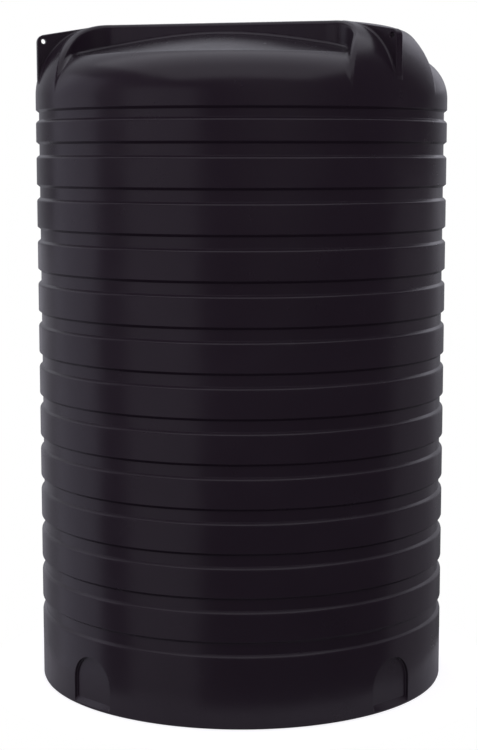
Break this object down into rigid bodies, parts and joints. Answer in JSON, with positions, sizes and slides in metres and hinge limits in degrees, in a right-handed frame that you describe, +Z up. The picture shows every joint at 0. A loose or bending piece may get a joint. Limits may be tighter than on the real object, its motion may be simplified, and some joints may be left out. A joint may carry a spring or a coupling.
{
  "type": "rainwater tank",
  "caption": "Upright round ribbed rainwater tank in black plastic with a star-shaped top, lifting lugs, flat fitting pads, screw lid with breather, and pipe fittings at the back.",
  "frame": {"origin": "centre of the round base, on the ground", "axes": "+Z up, -Y the front that the picture shows, +X to the right of the front"},
  "size_m": [1.6, 1.5999, 2.578],
  "materials": {
    "tank_plastic": "satin, moulded black polyethylene",
    "lid_plastic": "satin, moulded black",
    "fitting_plastic": "smooth black polypropylene",
    "seal_rubber": "matt black rubber",
    "mesh_steel": "fine stainless mesh"
  },
  "bodies": {
    "tank": {"tank_shell": "tank_plastic", "drain_plug": "fitting_plastic", "drain_plug_seal": "seal_rubber", "overflow_screen": "mesh_steel", "outlet_connector": "fitting_plastic", "outlet_nut": "fitting_plastic", "outlet_washer_inner": "seal_rubber", "outlet_washer_outer": "seal_rubber", "drain_connector": "fitting_plastic", "drain_nut": "fitting_plastic", "drain_washer_inner": "seal_rubber", "drain_washer_outer": "seal_rubber", "overflow_connector": "fitting_plastic", "overflow_nut": "fitting_plastic", "overflow_washer_inner": "seal_rubber", "overflow_washer_outer": "seal_rubber", "inlet_connector": "fitting_plastic", "inlet_nut": "fitting_plastic", "inlet_washer_inner": "seal_rubber", "inlet_washer_outer": "seal_rubber"},
    "seal": {"lid_seal": "seal_rubber"},
    "lid": {"manhole_lid": "lid_plastic", "breather_body": "fitting_plastic", "breather_nut": "fitting_plastic", "breather_mesh": "mesh_steel", "breather_cap": "lid_plastic"}
  },
  "joints": [
    {"name": "lid_lift", "type": "slide", "parent": "tank", "child": "seal", "axis": [0, 0, 1], "range_m": [0, 0.45]},
    {"name": "lid_turn", "type": "hinge", "parent": "seal", "child": "lid", "pos_m": [0, 0, 2.542], "axis": [0, 0, 1], "range_deg": [0, 450]}
  ]
}
